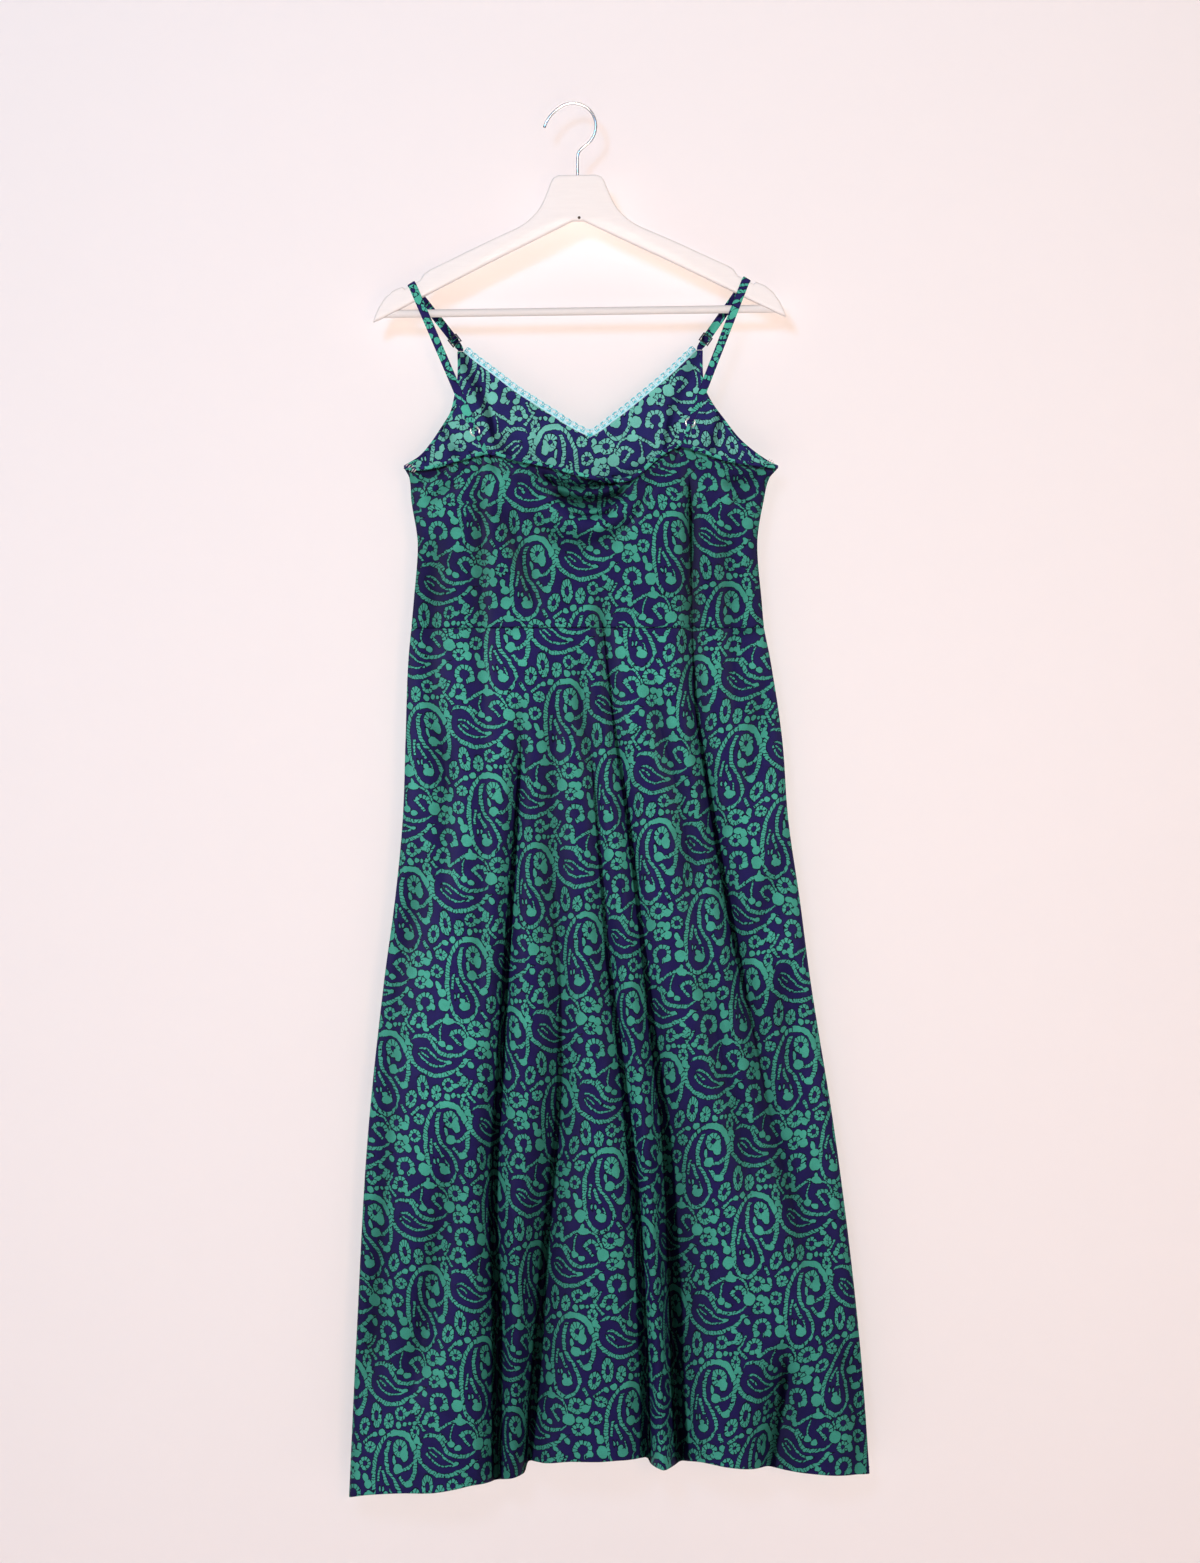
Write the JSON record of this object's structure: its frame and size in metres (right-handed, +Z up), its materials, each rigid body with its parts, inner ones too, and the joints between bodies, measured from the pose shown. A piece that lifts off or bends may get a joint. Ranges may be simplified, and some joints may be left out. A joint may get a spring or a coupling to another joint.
{
  "type": "slip dress on a wooden hanger",
  "caption": "Long slip dress on a flat wooden hanger: low draped back, V-neck front with lace edging, thin adjustable straps and a flared skirt that hangs in soft folds.",
  "frame": {"origin": "inner top of the hanger's hook, in the middle of its wire's thickness front to back, where a rail or nail carries it", "axes": "+Z up, -Y out of the dress's back, which is the side seen in the picture, +X to the wearer's right"},
  "size_m": [0.5556, 0.0772, 1.4864],
  "materials": {
    "print_satin": "satin with a green and violet all-over print",
    "aqua_lace": "matt lace",
    "silver_ring": "polished",
    "dark_slider": "satin",
    "white_paint": "painted, satin",
    "chrome_wire": "polished"
  },
  "bodies": {
    "root": {"bodice_back": "print_satin", "bodice_front": "print_satin", "skirt_back": "print_satin", "skirt_front": "print_satin", "strap_left": "print_satin", "strap_right": "print_satin", "ring_loop_left": "print_satin", "ring_loop_right": "print_satin", "lace_left": "aqua_lace", "lace_right": "aqua_lace", "ring_left": "silver_ring", "ring_right": "silver_ring", "slider_left": "dark_slider", "slider_right": "dark_slider", "hanger_body": "white_paint", "hanger_bar": "white_paint", "hanger_hook": "chrome_wire"}
  },
  "joints": []
}
